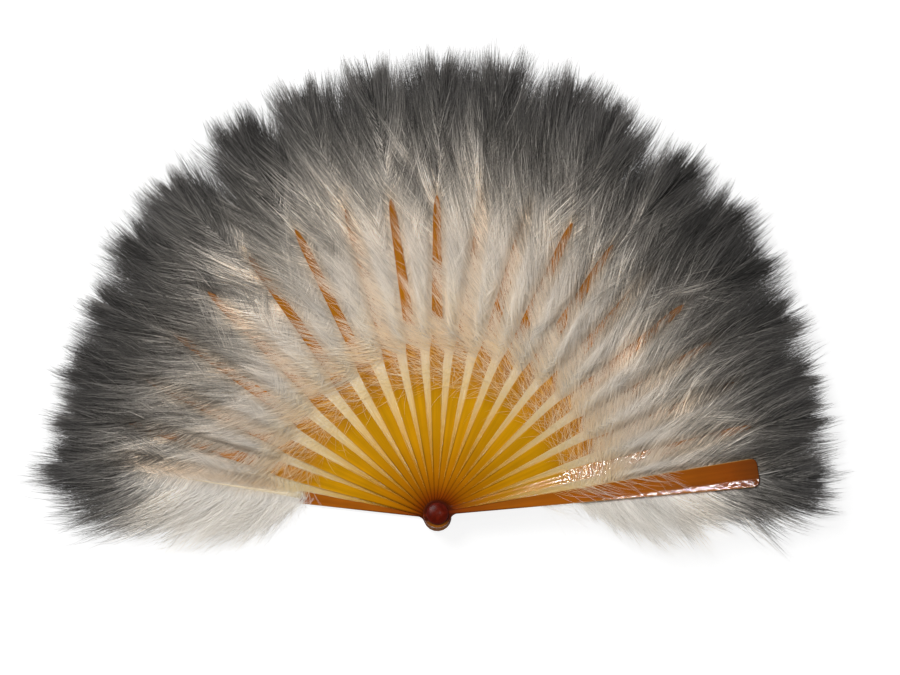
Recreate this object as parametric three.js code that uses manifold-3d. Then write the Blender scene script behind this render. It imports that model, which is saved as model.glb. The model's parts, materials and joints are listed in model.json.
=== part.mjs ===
// A folding feather fan, spread open and lying on its rear guard.
// Z runs up the rivet, Y points from the rivet to the plumes, and X runs along the spread.
// The origin is on the rivet's axis, in the flat rear face of the rivet.

import * as THREE from 'three';
import { mergeVertices } from 'three/addons/utils/BufferGeometryUtils.js';
import Module from 'manifold-3d';

const wasm = await Module();
wasm.setup();

// Spread of the blades around the rivet: a count, and angles in degrees from +X
const INNER_STICKS = 18;
const FRONT_GUARD_ANGLE = 7.4;
const CLOSE_STEP = 8.27;
const WIDE_STEP = 9.62;
const FIRST_WIDE_STEP = 12;
const LAST_WIDE_STEP = 16;

// Stack of layers along the rivet, in millimetres
const GUARD_BLADE_THICK = 1.65;
const RIB_THICK = 0.45;
const PLUME_THICK = 0.4;
const GLUE_GAP = 0.15;
const LAYER_GAP = 0.2;

// Round head that every blade turns on
const HEAD_RADIUS = 9.2;
const NECK_FILLET = 5;

// Guard: a straight taper from the neck to a broad end with round corners
const GUARD_REACH = 210;
const GUARD_NECK_WIDTH = 3;
const GUARD_END_WIDTH = 19.2;
const GUARD_CORNER = 5;
const GUARD_BEVEL = 0.5;

// Inner stick: a long taper, a short parallel middle, rounded shoulders and a narrow rib
const STICK_REACH = 212;
const STICK_NECK_WIDTH = 4.4;
const STICK_WIDTH = 10;
const MIDDLE_START = 98;
const MIDDLE_LENGTH = 6;
const SHOULDER_LENGTH = 16;
const RIB_WIDTH = 7.4;
const RIB_TIP_WIDTH = 5.4;
const RIB_TIP_LENGTH = 20;

// Plume: a quill with a downy vane that ends in pointed tufts. On the side of the next blade the vane
// fills the slot up to that blade's rib, so that the rib shows between the tufts, and widens past its end
const QUILL_START = 90;
const QUILL_WIDTH = 4.4;
const QUILL_TIP_WIDTH = 0.8;
const BARE_QUILL = 10;
const VANE_THICK = 0.25;
const VANE_HALF_WIDTH = 41;
const TUFT_LENGTH = 9;
const TUFT_LEAN = 0.7;
const TUFTS_PER_SIDE = 14;
const SLOT_MARGIN = 1;
const SLOT_FLARE = 1.2;
const SIDE_PLUME_REACH = 260;
const MIDDLE_PLUME_REACH = 305;

// Seat on each blade that its plume is glued into
const SEAT_END_GAP = 0.3;
const SEAT_RAMP = 3;

// Rivet
const PIN_RADIUS = 1.6;
const BORE_CLEARANCE = 0.3;
const SOCKET_CLEARANCE = 0.2;
const SOCKET_DEPTH = 0.7;
const REAR_CAP_RADIUS = 5;
const REAR_CAP_FLOOR = 0.6;
const REAR_CAP_CHAMFER = 0.4;
const STUD_RADIUS = 7.2;
const STUD_RIM = 0.6;
const STUD_CROWN = 2;

// Fineness of round stretches
const CURVE_STEPS = 4;
const BORE_SIDES = 20;
const RIVET_SIDES = 32;
const DOME_STEPS = 6;
const BEVEL_STEPS = 2;
const MERGE_DISTANCE = 1e-4;

// Room that a cutting body reaches past what it cuts
const CUT_MARGIN = 5;

// Slot angle of a vane's side with no rib beside it
const FREE_SIDE = Math.PI / 2;

// Thicknesses at the heads, where a blade is as thick as its outer part with the plume on it
const seatDepth = PLUME_THICK + GLUE_GAP;
const guardThick = GUARD_BLADE_THICK + seatDepth;
const stickThick = RIB_THICK + seatDepth;
const rearCapThick = REAR_CAP_FLOOR + SOCKET_DEPTH;

const MATERIALS = {
  guard: { color: 0xa85a12, roughness: 0.2, metalness: 0 },
  stick: { color: 0xc08818, roughness: 0.25, metalness: 0 },
  plume: { color: 0xd8d2ca, roughness: 0.95, metalness: 0 },
  rivet: { color: 0x5a1608, roughness: 0.2, metalness: 0 },
};

const fan = new THREE.Group();
fan.name = 'feather_fan';

function addPiece(parent, name, geometry, material) {
  const mesh = new THREE.Mesh(geometry, new THREE.MeshStandardMaterial(MATERIALS[material]));
  mesh.name = name;
  parent.add(mesh);
}

// A closed geometry as a solid that can be joined and cut
function toSolid(geometry) {
  const bare = geometry.clone();
  bare.deleteAttribute('normal');
  bare.deleteAttribute('uv');
  const merged = mergeVertices(bare, MERGE_DISTANCE);
  const vertProperties = new Float32Array(merged.attributes.position.array);
  const triVerts = new Uint32Array(merged.index.array);
  return new wasm.Manifold(new wasm.Mesh({ numProp: 3, vertProperties, triVerts }));
}

function toGeometry(solid) {
  const mesh = solid.getMesh();
  const geometry = new THREE.BufferGeometry();
  geometry.setAttribute('position', new THREE.BufferAttribute(mesh.vertProperties, 3));
  geometry.setIndex(new THREE.BufferAttribute(mesh.triVerts, 1));
  geometry.computeVertexNormals();
  return geometry;
}

// A closed outline from the points of two edges with the same ends, the second one written as its
// mirror image above the X axis
function shapeFromEdges(upper, lower) {
  const back = lower.slice(1, -1).reverse();
  return new THREE.Shape([...upper, ...back.map((point) => new THREE.Vector2(point.x, -point.y))]);
}

function mirroredShape(upper) {
  return shapeFromEdges(upper, upper);
}

// The start of a blade's upper edge: round head, then a hollow fillet that runs out along the neck
function headEdge(neckHalf) {
  const filletY = neckHalf + NECK_FILLET;
  const filletX = Math.sqrt((HEAD_RADIUS + NECK_FILLET) ** 2 - filletY ** 2);
  const meeting = Math.atan2(filletY, filletX);
  const edge = new THREE.Path();
  edge.absarc(0, 0, HEAD_RADIUS, Math.PI, meeting, true);
  edge.absarc(filletX, filletY, NECK_FILLET, meeting + Math.PI, 1.5 * Math.PI, false);
  return edge;
}

function guardShape() {
  const endHalf = GUARD_END_WIDTH / 2;
  const corner = Math.min(GUARD_CORNER, endHalf);
  const edge = headEdge(GUARD_NECK_WIDTH / 2);
  const neck = edge.currentPoint.clone();
  const cornerShare = (GUARD_REACH - corner - neck.x) / (GUARD_REACH - neck.x);
  edge.lineTo(GUARD_REACH - corner, THREE.MathUtils.lerp(neck.y, endHalf, cornerShare));
  edge.quadraticCurveTo(GUARD_REACH, endHalf, GUARD_REACH, endHalf - corner);
  edge.lineTo(GUARD_REACH, 0);
  return mirroredShape(edge.getPoints(CURVE_STEPS));
}

function stickShape() {
  const middleHalf = STICK_WIDTH / 2;
  const ribHalf = RIB_WIDTH / 2;
  const middleEnd = MIDDLE_START + MIDDLE_LENGTH;
  const shoulderMiddle = middleEnd + SHOULDER_LENGTH / 2;
  const shoulderEnd = middleEnd + SHOULDER_LENGTH;
  const tipStart = STICK_REACH - RIB_TIP_LENGTH;
  const edge = headEdge(STICK_NECK_WIDTH / 2);
  edge.lineTo(MIDDLE_START, middleHalf);
  edge.lineTo(middleEnd, middleHalf);
  edge.bezierCurveTo(shoulderMiddle, middleHalf, shoulderMiddle, ribHalf, shoulderEnd, ribHalf);
  edge.lineTo(tipStart, RIB_TIP_WIDTH / 2);
  edge.absellipse(tipStart, 0, RIB_TIP_LENGTH, RIB_TIP_WIDTH / 2, Math.PI / 2, 0, true);
  return mirroredShape(edge.getPoints(CURVE_STEPS));
}

// The body that cuts a plume's seat into the rear face of a blade lying on z = 0
function seatCutter() {
  const wall = QUILL_START - SEAT_END_GAP;
  const end = Math.max(GUARD_REACH, STICK_REACH) + CUT_MARGIN;
  const width = Math.max(GUARD_END_WIDTH, STICK_WIDTH) + 2 * CUT_MARGIN;
  const profile = new THREE.Shape();
  profile.moveTo(wall - SEAT_RAMP, 0);
  profile.lineTo(wall, seatDepth);
  profile.lineTo(end, seatDepth);
  profile.lineTo(end, -CUT_MARGIN);
  profile.lineTo(wall - SEAT_RAMP, -CUT_MARGIN);
  const geometry = new THREE.ExtrudeGeometry(profile, { depth: width, bevelEnabled: false });
  geometry.rotateX(Math.PI / 2);
  geometry.translate(0, width / 2, 0);
  return toSolid(geometry);
}

function boreCutter(thick) {
  const radius = PIN_RADIUS + BORE_CLEARANCE;
  const length = thick + 2 * CUT_MARGIN;
  const geometry = new THREE.CylinderGeometry(radius, radius, length, BORE_SIDES);
  geometry.rotateX(Math.PI / 2);
  geometry.translate(0, 0, thick / 2);
  return toSolid(geometry);
}

// A blade lying on z = 0 along +X, with its bore and the seat in its rear face
function cutBlade(blank, thick) {
  return toSolid(blank).subtract(boreCutter(thick)).subtract(seatCutter());
}

function guardBlade() {
  const blank = new THREE.ExtrudeGeometry(guardShape(), {
    depth: guardThick - 2 * GUARD_BEVEL,
    bevelThickness: GUARD_BEVEL,
    bevelSize: GUARD_BEVEL,
    bevelOffset: -GUARD_BEVEL,
    bevelSegments: BEVEL_STEPS,
  });
  blank.translate(0, 0, GUARD_BEVEL);
  return toGeometry(cutBlade(blank, guardThick));
}

function stickBlade() {
  const blank = new THREE.ExtrudeGeometry(stickShape(), { depth: stickThick, bevelEnabled: false });
  return toGeometry(cutBlade(blank, stickThick));
}

// Room beside a quill at a distance from the rivet: up to the next rib, and more past that rib's end
function slotRoom(distance, slotAngle) {
  const besideRib = Math.min(distance, STICK_REACH) * Math.sin(slotAngle) - RIB_WIDTH / 2 - SLOT_MARGIN;
  return besideRib + SLOT_FLARE * Math.max(distance - STICK_REACH, 0);
}

// A point on the edge of a vane's oval body, for a turn from 0 at its base to pi at its end
function vanePoint(turn, reach, slotAngle) {
  const bodyStart = QUILL_START + BARE_QUILL;
  const bodyLength = reach - TUFT_LENGTH - bodyStart;
  const share = (1 - Math.cos(turn)) / 2;
  const distance = bodyStart + share * bodyLength;
  const half = VANE_HALF_WIDTH * Math.sqrt(Math.sin(Math.PI * share));
  return new THREE.Vector2(distance, Math.min(half, slotRoom(distance, slotAngle)));
}

// One edge of a vane: notches on its body, with a tuft between each two that leans to the tip
function vaneEdge(reach, slotAngle) {
  const step = Math.PI / (TUFTS_PER_SIDE + 1);
  const edge = [new THREE.Vector2(QUILL_START + BARE_QUILL, 0)];
  for (let tuft = 0; tuft < TUFTS_PER_SIDE; tuft += 1) {
    const notch = vanePoint((tuft + 0.5) * step, reach, slotAngle);
    const root = vanePoint((tuft + 1) * step, reach, slotAngle);
    const next = vanePoint((tuft + 1.5) * step, reach, slotAngle);
    const along = next.clone().sub(notch).normalize();
    const outward = new THREE.Vector2(-along.y, along.x);
    const lean = outward.addScaledVector(along, TUFT_LEAN).normalize();
    edge.push(notch, root.addScaledVector(lean, TUFT_LENGTH));
  }
  edge.push(vanePoint((TUFTS_PER_SIDE + 0.5) * step, reach, slotAngle));
  edge.push(new THREE.Vector2(reach, 0));
  return edge;
}

function quillShape(reach) {
  const end = reach - 2 * TUFT_LENGTH;
  return mirroredShape([
    new THREE.Vector2(QUILL_START, 0),
    new THREE.Vector2(QUILL_START, QUILL_WIDTH / 2),
    new THREE.Vector2(end, QUILL_TIP_WIDTH / 2),
    new THREE.Vector2(end, 0),
  ]);
}

// A plume lying on z = 0 along +X, with its quill standing proud of the vane's front face
function plume(reach, slotAngle) {
  const outline = shapeFromEdges(vaneEdge(reach, slotAngle), vaneEdge(reach, FREE_SIDE));
  const vane = new THREE.ExtrudeGeometry(outline, { depth: VANE_THICK, bevelEnabled: false });
  const quill = new THREE.ExtrudeGeometry(quillShape(reach), { depth: PLUME_THICK, bevelEnabled: false });
  return toGeometry(toSolid(vane).add(toSolid(quill)));
}

// Places in the spread, where blade 0 is the front guard and the last blade is the rear guard
function bladeAngle(blade) {
  let angle = FRONT_GUARD_ANGLE;
  for (let step = 0; step < blade; step += 1) {
    const isWide = step >= FIRST_WIDE_STEP && step <= LAST_WIDE_STEP;
    angle += isWide ? WIDE_STEP : CLOSE_STEP;
  }
  return THREE.MathUtils.degToRad(angle);
}

// Plumes are longest in the middle of the spread
function plumeReach(angle) {
  return THREE.MathUtils.lerp(SIDE_PLUME_REACH, MIDDLE_PLUME_REACH, Math.sin(angle) ** 2);
}

function bladePlume(blade) {
  const angle = bladeAngle(blade);
  const slotAngle = blade < rearGuardNumber ? bladeAngle(blade + 1) - angle : FREE_SIDE;
  return plume(plumeReach(angle), slotAngle);
}

function bladeGroup(blade) {
  const group = new THREE.Group();
  group.rotation.z = bladeAngle(blade);
  fan.add(group);
  return group;
}

// Heights in the stack, from the rear cap up to the stud
const rearGuardBase = rearCapThick + LAYER_GAP;
const rearGuardTop = rearGuardBase + guardThick;
const stickPitch = stickThick + LAYER_GAP;
const frontGuardBase = rearGuardTop + LAYER_GAP + INNER_STICKS * stickPitch;
const studBase = frontGuardBase + guardThick + LAYER_GAP;
const rearGuardNumber = INNER_STICKS + 1;

function addFrontGuard() {
  const group = bladeGroup(0);
  group.position.z = frontGuardBase;
  addPiece(group, 'front_guard', guardBlade(), 'guard');
  addPiece(group, 'front_guard_plume', bladePlume(0), 'plume');
}

function addSticks() {
  for (let stick = 1; stick <= INNER_STICKS; stick += 1) {
    const label = String(stick).padStart(2, '0');
    const group = bladeGroup(stick);
    group.position.z = rearGuardTop + LAYER_GAP + (INNER_STICKS - stick) * stickPitch;
    addPiece(group, `stick_${label}`, stickBlade(), 'stick');
    addPiece(group, `plume_${label}`, bladePlume(stick), 'plume');
  }
}

// The rear guard is the same blade turned over, so its plume lies in front of it
function addRearGuard() {
  const group = bladeGroup(rearGuardNumber);
  group.position.z = rearGuardBase;
  const blade = guardBlade();
  blade.rotateX(Math.PI);
  blade.translate(0, 0, guardThick);
  const feather = bladePlume(rearGuardNumber);
  feather.translate(0, 0, guardThick - PLUME_THICK);
  addPiece(group, 'rear_guard', blade, 'guard');
  addPiece(group, 'rear_guard_plume', feather, 'plume');
}

// A body turned about the rivet's axis from a profile of radius and height
function turned(profile) {
  const points = profile.getPoints(DOME_STEPS);
  const geometry = new THREE.LatheGeometry(points, RIVET_SIDES);
  geometry.rotateX(Math.PI / 2);
  return toGeometry(toSolid(geometry));
}

function rearCap() {
  const socketRadius = PIN_RADIUS + SOCKET_CLEARANCE;
  const profile = new THREE.Path();
  profile.moveTo(0, 0);
  profile.lineTo(REAR_CAP_RADIUS - REAR_CAP_CHAMFER, 0);
  profile.lineTo(REAR_CAP_RADIUS, REAR_CAP_CHAMFER);
  profile.lineTo(REAR_CAP_RADIUS, rearCapThick);
  profile.lineTo(socketRadius, rearCapThick);
  profile.lineTo(socketRadius, REAR_CAP_FLOOR);
  profile.lineTo(0, REAR_CAP_FLOOR);
  return turned(profile);
}

// The domed button, with a blind socket under it for the pin
function stud() {
  const socketRadius = PIN_RADIUS + SOCKET_CLEARANCE;
  const profile = new THREE.Path();
  profile.moveTo(0, SOCKET_DEPTH);
  profile.lineTo(socketRadius, SOCKET_DEPTH);
  profile.lineTo(socketRadius, 0);
  profile.lineTo(STUD_RADIUS, 0);
  profile.lineTo(STUD_RADIUS, STUD_RIM);
  profile.absellipse(0, STUD_RIM, STUD_RADIUS, STUD_CROWN, 0, Math.PI / 2, false);
  const geometry = turned(profile);
  geometry.translate(0, 0, studBase);
  return geometry;
}

function pin() {
  const start = REAR_CAP_FLOOR + SOCKET_CLEARANCE;
  const end = studBase + SOCKET_DEPTH - SOCKET_CLEARANCE;
  const geometry = new THREE.CylinderGeometry(PIN_RADIUS, PIN_RADIUS, end - start, BORE_SIDES);
  geometry.rotateX(Math.PI / 2);
  geometry.translate(0, 0, (start + end) / 2);
  return geometry;
}

function addRivet() {
  addPiece(fan, 'rivet_rear_cap', rearCap(), 'rivet');
  addPiece(fan, 'rivet_pin', pin(), 'rivet');
  addPiece(fan, 'rivet_stud', stud(), 'rivet');
}

addFrontGuard();
addSticks();
addRearGuard();
addRivet();

export default fan;
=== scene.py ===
"""Looks of a folding feather fan: glossy amber blades on one rivet, each carrying a downy plume."""

import json
import math
from dataclasses import dataclass

import bpy
import numpy as np
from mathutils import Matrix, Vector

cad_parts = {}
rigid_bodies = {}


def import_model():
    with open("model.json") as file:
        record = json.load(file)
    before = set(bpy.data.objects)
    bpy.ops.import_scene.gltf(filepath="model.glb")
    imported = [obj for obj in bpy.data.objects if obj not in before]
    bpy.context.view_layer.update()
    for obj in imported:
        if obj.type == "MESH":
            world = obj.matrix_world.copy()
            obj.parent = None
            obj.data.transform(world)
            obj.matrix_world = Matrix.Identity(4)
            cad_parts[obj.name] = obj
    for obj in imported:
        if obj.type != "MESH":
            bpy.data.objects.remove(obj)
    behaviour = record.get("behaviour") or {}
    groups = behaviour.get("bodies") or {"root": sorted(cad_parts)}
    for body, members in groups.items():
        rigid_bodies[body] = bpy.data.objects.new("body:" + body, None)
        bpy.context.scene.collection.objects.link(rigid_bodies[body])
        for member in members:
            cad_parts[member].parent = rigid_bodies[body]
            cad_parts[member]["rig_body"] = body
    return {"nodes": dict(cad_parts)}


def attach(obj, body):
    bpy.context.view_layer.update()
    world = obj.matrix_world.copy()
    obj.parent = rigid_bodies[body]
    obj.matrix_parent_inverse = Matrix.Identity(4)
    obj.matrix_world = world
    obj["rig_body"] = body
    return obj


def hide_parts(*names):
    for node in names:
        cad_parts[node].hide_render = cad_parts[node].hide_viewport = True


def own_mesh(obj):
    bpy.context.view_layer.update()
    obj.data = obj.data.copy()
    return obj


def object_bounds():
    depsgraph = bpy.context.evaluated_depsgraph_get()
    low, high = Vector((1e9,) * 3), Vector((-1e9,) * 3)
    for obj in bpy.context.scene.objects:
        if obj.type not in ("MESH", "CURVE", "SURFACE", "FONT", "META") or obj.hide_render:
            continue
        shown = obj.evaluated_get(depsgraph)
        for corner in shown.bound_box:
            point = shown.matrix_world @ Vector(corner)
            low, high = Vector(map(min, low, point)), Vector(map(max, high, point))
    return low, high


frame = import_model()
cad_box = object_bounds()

MM = 0.001
SEED = 11

# View: the photograph looks down from a little towards the rivet, with the plumes at the top
PICTURE_WIDTH = 589.9 * MM
VIEW_CENTRE = np.array([8.2 * MM, 117 * MM, 15 * MM])
VIEW_DISTANCE = 2.385
VIEW_TILT = math.radians(8)
SENSOR_WIDTH = 36.0
VIEW_FAR = 50

# Stage
FLOOR_HALF = 6.0
FLOOR_GLOW = 0.85
FLOOR_COLOUR = (0.25, 0.25, 0.25)
HORIZON_LIGHT = 1.0
ZENITH_LIGHT = 0.2
KEY_PLACE = (-0.75, 0.85, 1.7)
KEY_SIZE = (0.9, 0.9)
KEY_POWER = 28.0
GLINT_HEIGHT = 2.2
# Slim lamps mirrored in a blade: the blade, the place along and across it, the lamp's size and power
GLINTS = (
    ("stick_01", (104 * MM, 0), (0.14, 0.012), 0.8),
    ("front_guard", (160 * MM, -6 * MM), (0.17, 0.006), 1.2),
)

# Down: tufts of strands along each quill
TUFTS = 180
STRANDS_PER_TUFT = 46
SEGMENTS = 6
STRAND_WIDTH = 0.31 * MM
VANE_START = 109 * MM
OPEN_VANE_START = 93 * MM
# How far a quill ends short of its plume's tip, by the plume's turn in degrees from upright
SHORT_OF_TIP_MM = ((0, 27), (20, 26), (35, 27), (60, 29), (90, 31))
SLOT_LEANS = ((0.0, 70), (0.12, 56), (0.3, 44), (0.5, 38), (0.7, 36), (0.85, 30), (1.0, 12))
FREE_LEANS = ((0.0, 70), (0.15, 74), (0.4, 60), (0.7, 42), (1.0, 12))
SLOT_LENGTHS_MM = ((0.0, 30), (0.2, 44), (0.5, 60), (0.7, 71), (0.85, 61), (0.95, 42), (1.0, 28))
FREE_LENGTHS_MM = ((0.0, 26), (0.08, 44), (0.2, 62), (0.5, 70), (0.7, 72), (0.85, 63), (0.95, 42), (1.0, 27))
# Lengths of whole plumes, tufts and single strands as shares of the common ones
PLUME_SIZES = (0.95, 1.04)
TUFT_SIZES = (0.8, 1.12)
STRAND_SIZES = (0.66, 1.08)
TUFT_LEAN_SPREAD = math.radians(9)
STRAND_LEAN_SPREAD = math.radians(10)
BENDS = ((0.0, 0.4), (0.4, 0.55), (0.7, 0.85), (1.0, 0.9))
BEND_SPREAD = 0.2
ROOT_SPREAD = 4 * MM
CLUMP_RANGE = (0.35, 0.92)
CLUMP_POWER = 1.4
PLUME_PALE_SPREAD = 0.3
TUFT_PALE_SPREAD = 0.7
STRAND_PALE_SPREAD = 0.9
PUFF_UP = 8 * MM
PUFF_DOWN = 6 * MM
PUFF_SPREAD = 1.2 * MM
PUFF_SHARES = (0.1, 1)
RISE_POWER = 0.9
RISE_WAVE = 0.15
RISE_PHASE = 1.7
UPWARD_SHARE_OVER = 0.85
UPWARD_SHARE_UNDER = 0.4
# How much of each rib, from the first stick to the rear guard, lies hidden under the plume before it
RIB_COVER = (0.5, 0.9, 0.9, 0.2, 0.7, 0.35, 0.25, 0.35, 0.75, 0.05, 0.1,
             0.75, 0.2, 0.25, 0.65, 0.5, 0.8, 0.4, 0.8)
CROSSING_LONGER = 1.35
CROSSING_FADE = (0.5, 0.8)
CROSSING_LEAN = math.radians(6)
# Lengths of the open fringe along a guard's outer edge, as shares of the common ones
FRINGE_SIZES = {"front_guard": 0.93, "rear_guard": 1.2}
BASE_SHARE = 0.05
RIB_MARGIN = 0.8 * MM
NARROWEST_SLOT = 2 * MM
RIB_CLEAR = 5 * MM
RIB_END_FADE = (-2 * MM, 10 * MM)
RIB_COVERED = 60 * MM
FRIZZ = 0.8 * MM
FRIZZ_TURNS = (0.6, 1.5)
# How far a plume's tip bows aside, by its blade's angle in degrees: both halves of the fan droop outwards
TIP_BOW_MM = ((7, -7), (50, -11), (75, -5), (90, 0), (105, 5), (130, 10), (171, 7))
TIP_BOW_SPREAD = 3 * MM
BOW_START = 180 * MM
# Clearances of the down: from the floor, above the model's top, and between a plume and its blade
FLOOR_CLEAR = 0.4 * MM
TOP_CLEAR = 8 * MM
LAYER_CLEAR = 0.1 * MM

# Loose barbs at the foot of each plume, over the golden part of the sticks. A bend is a mean and a spread
LOOSE_BARBS = 100
LOOSE_START = (86 * MM, 120 * MM)
LOOSE_LEAN = (math.radians(45), math.radians(140))
LOOSE_LENGTH = (14 * MM, 34 * MM)
LOOSE_BEND = (0.4, 0.6)
LOOSE_LIFT = 1.5 * MM

# Barbs that lie along the slit between two sticks, from the foot of the plume towards the rivet
SLIT_BARBS = 170
SLIT_START = (96 * MM, 118 * MM)
SLIT_LENGTH = (34 * MM, 95 * MM)
SLIT_PLACE = (0.31, 0.69)
SLIT_WAVE = 0.5 * MM

# Fine hairs that cross the ribs
RIB_HAIRS = 60
RIB_HAIR_START = (108 * MM, 214 * MM)
RIB_HAIR_OFFSET = 6 * MM
RIB_HAIR_LEAN = (math.radians(8), math.radians(50))
RIB_HAIR_LENGTH = (8 * MM, 28 * MM)
RIB_HAIR_BEND = (0.3, 0.5)

# Stray barbs that curl over the front guard's upper edge and down across its face
STRAY_BARBS = 60
STRAY_START = (74 * MM, 150 * MM)
STRAY_LEAN = (math.radians(14), math.radians(42))
STRAY_LENGTH = (12 * MM, 36 * MM)
STRAY_LIFT = (0.3 * MM, 1.6 * MM)
STRAY_BEND = (0.3, 0.5)
STRAY_EDGE_GAP = 1.2 * MM
STRAY_DEPTH = 1.5 * MM
STRAY_RISE = (-0.1, 0.2)

# Wisps under the front guard's lower edge, nearer to the rivet than its vane
WISPS = 60
WISP_START = (66 * MM, 112 * MM)
WISP_LEAN = (math.radians(8), math.radians(60))
WISP_LENGTH = (12 * MM, 34 * MM)
WISP_BEND = (0.2, 0.5)
WISP_TUCK = 0.5 * MM

# Width of all these single barbs as a share of a vane strand's
BARB_WIDTH_SHARE = 0.65

# Ribbon that each strand is made of: its roll, its width as a share of the common one, and its taper
ROLL_SPREAD = 0.55
WIDTH_SHARES = (0.7, 1.15)
TAPER_POWER = 3
# Part of its cell that a ribbon fills in the flat layout
CELL_SIDES = (0.15, 0.85)
CELL_MIDDLE = 0.5
CELL_FOOT = 0.05
CELL_LENGTH = 0.9

# Half widths of the blades by their distance from the rivet
GUARD_HALF_WIDTHS_MM = ((9, 1.5), (210, 9.6))
STICK_HALF_WIDTHS_MM = ((9, 2.2), (98, 5.0), (104, 5.0), (120, 3.7), (192, 2.7), (203, 2.2), (212, 0.4))

# Quill of each plume
QUILL_START = 90.3 * MM
QUILL_HALF_WIDTH = 2.1 * MM
HIDDEN_QUILL_HALF_HEIGHT = 0.19 * MM
OPEN_QUILL_HALF_HEIGHT = 0.8 * MM
QUILL_SIDES = 8
QUILL_RINGS = 14
QUILL_TAPER = 0.92
QUILL_COLOUR = (222, 205, 172)
QUILL_ROUGH = 0.45

# Screen colours of the down: the foot of the plume, lit through the amber, then the open vane
FOOT_END = 130 * MM
FOOT_SHARE = 0.45
OPEN_SHARE = 0.57
# Shares of a plume's reach between which its tones change
SOONER_FADE = (0.4, 0.55)
SIDE_SHADE_FADE = (0.6, 0.8)
SPREAD_FADE = (0.55, 0.82)
LIGHTEST_FADE = (0.58, 0.78)
TIP_SHADE_FADE = (0.62, 0.85)
AMBER_LIGHT_FADE = (0.6, 0.9)
# Differences between strands: shifts of tone, and spread and limits of lightness
TONE_SPREAD = 0.025
PALE_TONE_SHIFT = 0.02
TONE_ALONG_STRAND = 0.04
WHITE_SPREAD = 0.13
TIP_EXTRA_SPREAD = 0.32
DARKEST = 0.4
LIGHTEST = (1.04, 2.4)
TIP_AMBER_LIGHT_LOSS = 0.6
# How much sooner a plume darkens, by its blade's angle in degrees
SOONER = ((7, 0.05), (30, 0.08), (40, 0.06), (50, 0.02), (66, -0.01), (74, -0.02), (82, -0.05), (90, 0.0),
          (107, 0.0), (117, 0.02), (126, 0.05), (138, 0.1), (150, 0.11), (163, 0.06), (171, 0.0))
# How dark a plume's tip is, by its blade's angle in degrees
TIP_SHADES = ((7, 0.86), (30, 0.8), (50, 0.88), (75, 1.0), (171, 1.0))
# The whites of the plumes to both sides of upright are dimmer
SIDE_SHADE = 0.92
SIDE_SPAN = (math.radians(15), math.radians(72))
DOWN_STOPS = (
    (0.14, (236, 188, 78)),
    (0.2, (246, 210, 116)),
    (0.26, (251, 228, 164)),
    (0.32, (252, 238, 202)),
    (0.38, (253, 244, 224)),
    (0.46, (253, 249, 241)),
    (0.56, (253, 250, 245)),
    (0.62, (247, 243, 237)),
    (0.69, (224, 219, 211)),
    (0.77, (179, 174, 168)),
    (0.84, (128, 125, 120)),
    (0.92, (108, 106, 104)),
    (1.0, (108, 106, 104)),
)

# Surface of the down, and the share of light that passes through it
DOWN_ROUGH = 0.8
DOWN_SHINE = 0.25
DOWN_THROUGH = 0.4

# Painted amber light on the down, standing in for light through and off the amber blades: its tint, and its
# strength in the open and close to a rib
AMBER_LIGHT_TINT = (0.9, 0.71, 0.48)
OPEN_AMBER_LIGHT = 0.16
RIB_AMBER_LIGHT = 0.36
AMBER_LIGHT_START = (96 * MM, 114 * MM)

# Screen colours of the amber by the share of a blade's reach, with painted shade and light: darker towards
# the rivet, where the blades stack, golden where the pale floor shows through a stick, and browner on a stick
# where the down lies behind it
BLADE_REACH = 212 * MM
STICK_STOPS_WITH_PAINTED_LIGHT = (
    (0.028, (96, 22, 2)),
    (0.062, (136, 60, 3)),
    (0.094, (158, 90, 3)),
    (0.14, (174, 108, 3)),
    (0.185, (182, 119, 4)),
    (0.25, (191, 132, 6)),
    (0.36, (192, 136, 8)),
    (0.43, (176, 115, 8)),
    (0.5, (164, 102, 10)),
    (0.62, (170, 106, 16)),
    (0.8, (162, 100, 20)),
    (1.0, (148, 91, 26)),
)
# The guards' ramp paints shade towards the rivet, where the blades stack, and is darker towards a guard's end
GUARD_STOPS_WITH_PAINTED_SHADE = (
    (0.03, (88, 18, 2)),
    (0.08, (140, 64, 3)),
    (0.2, (158, 84, 6)),
    (0.7, (156, 84, 8)),
    (0.9, (140, 68, 8)),
    (1.0, (104, 52, 12)),
)
RIVET_STOPS = ((0.0, (94, 22, 4)), (0.035, (80, 15, 3)))
# Painted light of the heads below the rivet
HEAD_LOBE_PAINTED_LIGHT = (146, 84, 16)
# Painted light on a blade's rims beside the slits, where light comes through the amber
SLIT_RIM_PAINTED_LIGHT = (232, 192, 112)
BARB_THROUGH = (228, 176, 96)

# Scales of the amber's patterns, and the slant of the barbs seen through it
STREAK_SCALE = (14, 420, 200)
CLOUD_SCALE = 55.0
BARB_SCALE = (85, 1100, 300)
BARB_LEAN = math.radians(62)
SPECKLE_SCALE = 800.0
GRAIN_SCALE = 420.0

# Dark and light ends of the patterns, over the middle span of a noise, and of whole blades
NOISE_SPAN = (0.3, 0.7)
STREAK_SHADES = (0.86, 1.14)
CLOUD_SHADES = (0.93, 1.07)
GRAIN_SHADES = (0.75, 1.25)
BLADE_SHADES = (0.94, 1.06)

# Painted shade along a blade's edges near the rivet, where the blades overlap, and painted light on its rims
# further out, beside the slits: depth, distance and strength
EDGE_DEPTH = (0.2 * MM, 1.1 * MM)
EDGE_FADE = (45 * MM, 75 * MM)
EDGE_PAINTED_SHADE = 0.5
RIM_DEPTH = 0.7 * MM
RIM_START = (50 * MM, 80 * MM)
RIM_PAINTED_LIGHT = 0.45

# Barbs seen through a stick: the span of their noise, where they begin and end, and their strength
BARB_SPAN = (0.45, 0.62)
BARB_START = (84 * MM, 104 * MM)
BARB_END = (112 * MM, 132 * MM)
BARB_STRENGTH = 0.6

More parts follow.
